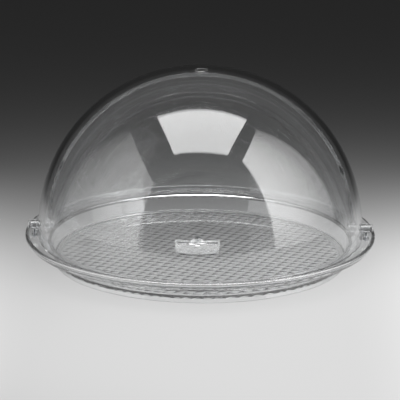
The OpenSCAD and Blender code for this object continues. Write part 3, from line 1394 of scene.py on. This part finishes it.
@dataclass
class Hinge:
    """The pieces of one pivot: post, post screw, pin, washers, spacer and cap."""

    layout: Layout
    finishes: Finishes
    side: Side
    pin_radius: float = PIN_RADIUS
    head_thick: float = 3 * MM
    chamfer: float = 0.8 * MM
    dimple_share: float = 0.45
    dimple_floor: float = 0.6
    eye_wall: float = 2.5 * MM
    eye_steps: int = 32
    leg_width: float = 8 * MM
    foot_width: float = 14 * MM
    foot_thick: float = 2.5 * MM
    edge_round: float = 0.4 * MM
    screw_radius: float = 1.75 * MM
    screw_pitch: float = 0.6 * MM
    screw_plain: float = 4 * MM
    screw_head_radius: float = 3.25 * MM
    screw_head_thick: float = 2.2 * MM

    def node(self, stem: str) -> str:
        """A node's name on this side."""
        return f"{stem}_{self.side.label}"

    def look(self, stem: str) -> str:
        """The name of the piece that stands for a node on this side."""
        return self.node(stem) + "_look"

    def reach(self, stem: str) -> list[float]:
        """A node's near and far end along the pin, from the middle of the tray."""
        low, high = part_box(self.node(stem))
        return sorted(abs(x) for x in (low[0], high[0]))

    def radius(self, stem: str) -> float:
        """A round node's radius."""
        low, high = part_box(self.node(stem))
        return (high[1] - low[1]) / 2

    @property
    def bore(self) -> float:
        """Radius of the holes round the pin."""
        return self.pin_radius + FIT_GAP

    def turned(self, stem: str, section: Sequence[Corner]) -> Piece:
        """A round piece on the pin.

        Args:
            stem: Its node's name without the side.
            section: The corners of its half section, from the axis to the axis.

        Returns:
            The piece at its place.
        """
        return self.along_pin(lathe(self.look(stem), outline(section, False)))

    def along_pin(self, piece: Piece) -> Piece:
        """Shades a piece and turns it from the Z axis to the pivot axis on this side."""
        smooth(piece)
        return place(piece, (0, self.side.value * QUARTER, 0), (0, 0, self.layout.axis_height))

    def washer(self, stem: str) -> Piece:
        """A flat ring on the pin.

        Args:
            stem: Its node's name without the side.

        Returns:
            The ring at its place.
        """
        near, far = self.reach(stem)
        radii = (self.bore, self.radius(stem))
        return self.along_pin(ring(self.look(stem), radii, (near + AIR, far - AIR), WASHER_ROUND))

    def pin(self) -> Piece:
        """The headed pin, with a dimple in its head.

        Returns:
            The pin at its place.
        """
        near, far = self.reach("pivot_pin")
        head = self.radius("pivot_pin")
        shoulder = far - self.head_thick + AIR
        cut = far - self.chamfer
        dimple = self.dimple_share * head
        soft = self.edge_round
        section = [
            (0, near, 0),
            (self.pin_radius, near, soft),
            (self.pin_radius, shoulder, 0),
            (head, shoulder, soft),
            (head, cut, soft),
            (head - self.chamfer, far, soft),
            (dimple, far, soft),
            (self.dimple_floor * dimple, cut, soft),
            (0, cut, 0),
        ]
        return self.turned("pivot_pin", section)

    def cap(self) -> Piece:
        """The cup on the pin's inner end.

        Returns:
            The cap at its place.
        """
        near, far = self.reach("pin_cap")
        radius = self.radius("pin_cap")
        pin_end = self.reach("pivot_pin")[0] - FIT_GAP
        soft = self.edge_round
        section = [
            (0, pin_end, 0),
            (self.bore, pin_end, 0),
            (self.bore, far - AIR, 0),
            (radius, far - AIR, soft),
            (radius, near + self.chamfer, soft),
            (radius - self.chamfer, near, soft),
            (0, near, 0),
        ]
        return self.turned("pin_cap", section)

    def post(self) -> Piece:
        """The post: a foot on the seat, a leg and the eye round the pin.

        Returns:
            The post at its place.
        """
        seat = self.layout.seat_height
        rise = self.layout.axis_height - seat
        outer = self.reach("head_washer")[0]
        inner = self.reach("wall_washer")[1]
        toe, heel = self.reach("hinge_post")
        eye = self.pin_radius + self.eye_wall
        half = self.leg_width / 2
        meet = math.degrees(math.acos(half / eye))
        tall = arc((0, rise), eye, -meet, 180 + meet, self.eye_steps)
        post = slab(self.look("hinge_post"), [(-half, MM), (half, MM), *tall], outer - inner)
        soften(post, self.edge_round)
        place(post, (QUARTER, 0, QUARTER), (inner, 0, 0))
        half = self.foot_width / 2
        foot = block("foot", (toe, -half, AIR), (heel, half, self.foot_thick))
        soften(foot, self.edge_round)
        combine(post, foot, Join.ADD)
        bore = rod("bore", self.bore, inner - MM, outer + MM)
        combine(post, place(bore, (0, QUARTER, 0), (0, 0, rise)), Join.CUT)
        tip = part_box(self.node("post_screw"))[1][2] - seat
        hole = rod("hole", self.screw_radius + FIT_GAP, -MM, tip + TIP_GAP)
        combine(post, place(hole, shift=((inner + outer) / 2, 0, 0)), Join.CUT)
        smooth(post)
        turn = 0 if self.side is Side.RIGHT else math.pi
        return place(post, (0, 0, turn), (0, 0, seat))

    def post_screw(self) -> Piece:
        """The screw that comes up through the seat into the post.

        Returns:
            The screw at its place.
        """
        low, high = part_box(self.node("post_screw"))
        screw = Screw(
            name=self.look("post_screw"),
            shank_radius=self.screw_radius,
            head_radius=self.screw_head_radius,
            head_thickness=self.screw_head_thick,
            length=high[2] - low[2] - self.screw_head_thick,
            pitch=self.screw_pitch,
            plain=self.screw_plain,
        ).build()
        return place(screw, shift=((low[0] + high[0]) / 2, 0, low[2] - AIR))

    def build(self) -> list[Piece]:
        """Builds this side's pieces.

        Returns:
            The seven pieces.
        """
        clear = [self.post(), self.pin(), self.cap()]
        clear += [self.washer(stem) for stem in ("head_washer", "wall_washer", "inner_spacer")]
        fittings = (Body.BASE, Slot.FITTINGS, self.finishes.fittings)
        pieces = [hand_over(piece, *fittings) for piece in clear]
        screw = hand_over(self.post_screw(), Body.BASE, Slot.STEEL, self.finishes.steel)
        return [*pieces, screw]


@dataclass(frozen=True)
class Fade:
    """A soft loss of brightness across a light's face, slow at first."""

    axis: str
    start: float
    end: float
    drop: float
    power: float = 2.0

    def add(self, nodes: Nodes, where: Socket) -> Socket:
        """Adds the fade to a light's nodes.

        Args:
            nodes: The light's nodes.
            where: Place on the light's face, 0 to 1 along each edge.

        Returns:
            The share of the light's brightness that is left.
        """
        across = nodes.remap(nodes.axis(where, self.axis), (self.start, self.end))
        lost = nodes.math("MULTIPLY", nodes.math("POWER", across, self.power), self.drop)
        return nodes.math("SUBTRACT", 1.0, lost)


@dataclass(frozen=True)
class Softbox:
    """A square or oblong soft light."""

    name: str
    size: Point
    place: Corner
    turn: Corner
    brightness: float
    fades: tuple[Fade, ...] = ()

    def shade(self, lamp: bpy.types.AreaLight) -> None:
        """Lets the light's face fade towards its edges.

        Args:
            lamp: The light.
        """
        lamp.use_nodes = True
        nodes = Nodes(lamp.node_tree)
        out = nodes.add("OutputLight")
        glow = nodes.add("Emission")
        where = nodes.add("NewGeometry").outputs["Parametric"]
        level: Socket | float = 1.0
        for fade in self.fades:
            level = nodes.math("MULTIPLY", fade.add(nodes, where), level)
        nodes.link(level, glow.inputs["Strength"])
        nodes.link(glow.outputs["Emission"], out.inputs["Surface"])

    def build(self) -> None:
        """Adds the light, whose face has the given brightness."""
        lamp = bpy.data.lights.new(self.name, "AREA")
        lamp.shape = "RECTANGLE"
        lamp.size, lamp.size_y = self.size
        lamp.energy = self.brightness * math.pi * self.size[0] * self.size[1]
        if self.fades:
            self.shade(lamp)
        light = bpy.data.objects.new(self.name, lamp)
        light.location = self.place
        light.rotation_euler = Euler(self.turn)
        bpy.context.scene.collection.objects.link(light)


@dataclass
class Studio:
    """Camera, lights, a floor with a painted pool of light, pale before the tray and dark behind
    it, and a dim world.
    """

    elevation: float = math.radians(16.13)
    azimuth: float = math.radians(0.85)
    distance: float = 2.9
    aim: Corner = (-0.44 * MM, 0, 65.3 * MM)
    roll: float = math.radians(0.46)
    lens: float = 240.6
    sensor: float = 36.0
    sight: float = 20.0
    floor_radius: float = 4.0
    floor_drop: float = 0.2 * MM
    pale: float = 0.735
    dark: float = 0.02
    pool_at: Point = (0.247, -0.305)
    pool_width: float = 0.464
    pool_squash: float = 0.6
    pool_fall: float = 4.7
    shadow_share: float = 0.15
    lamp_level: float = 2.0
    room: float = 0.1
    room_span: Point = (-0.15, 0.3)
    room_tilt: float = -0.5
    side_level: float = 0.9
    side_start: Point = (0.15, 0.5)
    side_end: Point = (0.8, 1.2)
    side_front: Point = (-1.1, -0.7)
    side_back: Point = (-0.1, 0.4)
    bounces: int = 64

    def camera(self) -> None:
        """Sets the camera at the photograph's angle."""
        optics = bpy.data.cameras.new("camera")
        optics.sensor_width = self.sensor
        optics.lens = self.lens
        optics.clip_end = self.sight
        camera = bpy.data.objects.new("camera", optics)
        turn = Euler((QUARTER - self.elevation, 0, self.azimuth))
        camera.location = Vector(self.aim) + turn.to_matrix() @ Vector((0, 0, self.distance))
        camera.rotation_euler = turn
        camera.rotation_euler.rotate_axis("Z", self.roll)
        bpy.context.scene.collection.objects.link(camera)
        bpy.context.scene.camera = camera

    def lights(self) -> None:
        """Three soft lights: one overhead, a tall one at the right and a dimmer one at the left."""
        across = Fade(axis="Y", start=0.02, end=0.9, drop=0.7)
        upwards = Fade(axis="X", start=0.43, end=1.0, drop=0.6)
        boxes = (
            Softbox(
                "overhead_softbox",
                size=(0.994, 0.976),
                place=(0.0114, -0.2155, 1.4155),
                turn=(math.radians(-24.4), 0, 0),
                brightness=5.6,
            ),
            Softbox(
                "right_softbox",
                size=(1.645, 0.93),
                place=(0.887, -0.254, 0.823),
                turn=(0, QUARTER, math.radians(-3.3)),
                brightness=5.0,
                fades=(across, upwards),
            ),
            Softbox(
                "left_softbox",
                size=(1.218, 1.56),
                place=(-0.9, -0.28, 0.609),
                turn=(0, -QUARTER, 0),
                brightness=1.5,
                fades=(Fade(axis="Y", start=0.36, end=0.9, drop=1.0),),
            ),
        )
        for box in boxes:
            box.build()

    def pool(self, nodes: Nodes) -> Socket:
        """A pool of light in front of the tray that fades into the dark.

        Args:
            nodes: The floor's nodes.

        Returns:
            The floor's brightness.
        """
        where = nodes.here()
        scale = (self.pool_squash / self.pool_width, 1 / self.pool_width, 0)
        moved = nodes.vector("SUBTRACT", where, (*self.pool_at, 0)).outputs["Vector"]
        squashed = nodes.vector("MULTIPLY", moved, scale).outputs["Vector"]
        far = nodes.vector("LENGTH", squashed).outputs["Value"]
        fall = nodes.math("ADD", nodes.math("POWER", far, self.pool_fall), 1.0)
        level = nodes.math("ADD", nodes.math("DIVIDE", self.pale, fall), self.dark)
        both = nodes.math("ADD", level, self.side_pools(nodes, where))
        return nodes.math("MINIMUM", both, 1.0)

    def side_pools(self, nodes: Nodes, where: Socket) -> Socket:
        """Painted brightness on the floor out of the picture, left and right, standing in for what
        the side lights add.

        Args:
            nodes: The floor's nodes.
            where: Place on the floor.

        Returns:
            The added brightness.
        """
        aside = nodes.math("ABSOLUTE", nodes.axis(where, "X"))
        along = nodes.axis(where, "Y")
        spans = (
            (aside, self.side_start, RISE),
            (aside, self.side_end, FALL),
            (along, self.side_front, RISE),
            (along, self.side_back, FALL),
        )
        level: Socket | float = self.side_level
        for value, span, levels in spans:
            level = nodes.math("MULTIPLY", nodes.remap(value, span, levels, "SMOOTHSTEP"), level)
        return level

    def floor(self) -> None:
        """A floor with a painted pool of light that glows round the tray, and a faint real shading
        that keeps its shadow.
        """
        deselect()
        bpy.ops.mesh.primitive_circle_add(
            vertices=ROUND_STEPS,
            radius=self.floor_radius,
            fill_type="NGON",
            location=(0, 0, -self.floor_drop),
        )
        floor = bpy.context.object
        floor.name = "floor"
        settle(floor)
        material, nodes = new_material("painted_pool_floor")
        out = nodes.add("OutputMaterial")
        # The floor's brightness is a painted pool of light, not light that falls on it
        level = self.pool(nodes)
        paper = nodes.add("BsdfDiffuse")
        # The diffuse colour follows the painted pool too, so its real shading continues the painted
        # light
        grey = nodes.math("MULTIPLY", level, self.shadow_share / self.lamp_level)
        nodes.link(grey, paper.inputs["Color"])
        rays = nodes.add("LightPath").outputs
        mirrored = nodes.math("MAXIMUM", rays["Is Camera Ray"], rays["Is Glossy Ray"])
        seen = nodes.math("MAXIMUM", mirrored, rays["Is Transmission Ray"])
        shown = nodes.math("MULTIPLY", level, 1 - self.shadow_share)
        # Painted light: the floor glows with the pool for camera, mirror and through-glass rays
        glow = nodes.add("Emission")
        nodes.link(nodes.math("MULTIPLY", seen, shown), glow.inputs["Strength"])
        both = nodes.add("AddShader")
        nodes.link(paper.outputs["BSDF"], both.inputs[0])
        nodes.link(glow.outputs["Emission"], both.inputs[1])
        nodes.link(both.outputs["Shader"], out.inputs["Surface"])
        floor.data.materials.append(material)

    def backdrop(self) -> None:
        """A world that is dark low at the back and a dim grey overhead and in front."""
        world = bpy.data.worlds.new("backdrop")
        world.use_nodes = True
        bpy.context.scene.world = world
        nodes = Nodes(world.node_tree)
        out = nodes.add("OutputWorld")
        sky = nodes.add("Background")
        sky.inputs["Color"].default_value = (1, 1, 1, 1)
        where = nodes.add("TexCoord").outputs["Generated"]
        along = nodes.vector("DOT_PRODUCT", where, (0, self.room_tilt, 1)).outputs["Value"]
        level = nodes.remap(along, self.room_span, (self.dark, self.room), "SMOOTHSTEP")
        nodes.link(level, sky.inputs["Strength"])
        nodes.link(sky.outputs["Background"], out.inputs["Surface"])

    def build(self) -> None:
        """Sets up the whole studio."""
        scene = bpy.context.scene
        scene.view_settings.view_transform = "Standard"
        scene.cycles.max_bounces = self.bounces
        scene.cycles.transmission_bounces = self.bounces
        scene.cycles.glossy_bounces = self.bounces
        self.camera()
        self.lights()
        self.floor()
        self.backdrop()


def main() -> None:
    """Sets up the studio, then builds the pieces in order and reports each of them."""
    logging.basicConfig(level=logging.INFO, format="%(message)s")
    layout = Layout.from_frame()
    finishes = Finishes()
    Studio().build()
    rear = RearShell(
        layout,
        finishes,
        name="rear_dome",
        body=Body.BASE,
        radius=layout.rear_radius,
        wall=4.5 * MM,
        base_drop=layout.axis_height - layout.seat_height - AIR,
        edge_angle=74,
        forward=-1,
        bore=PIN_RADIUS + FIT_GAP,
    )
    front = FrontShell(
        layout,
        finishes,
        name="front_dome",
        body=Body.COVER,
        radius=layout.front_radius,
        wall=FRONT_WALL,
        base_drop=9.7 * MM,
        edge_angle=112,
        forward=1,
        bore=PIN_RADIUS + RUN_GAP,
    )
    hinges = [Hinge(layout, finishes, side) for side in Side]
    for assembly in (Tray(layout, finishes), rear, front, Handle(layout, finishes), *hinges):
        for piece in assembly.build():
            LOG.info("%s: %d faces", piece.name, len(piece.data.polygons))


if __name__ == "__main__":
    main()
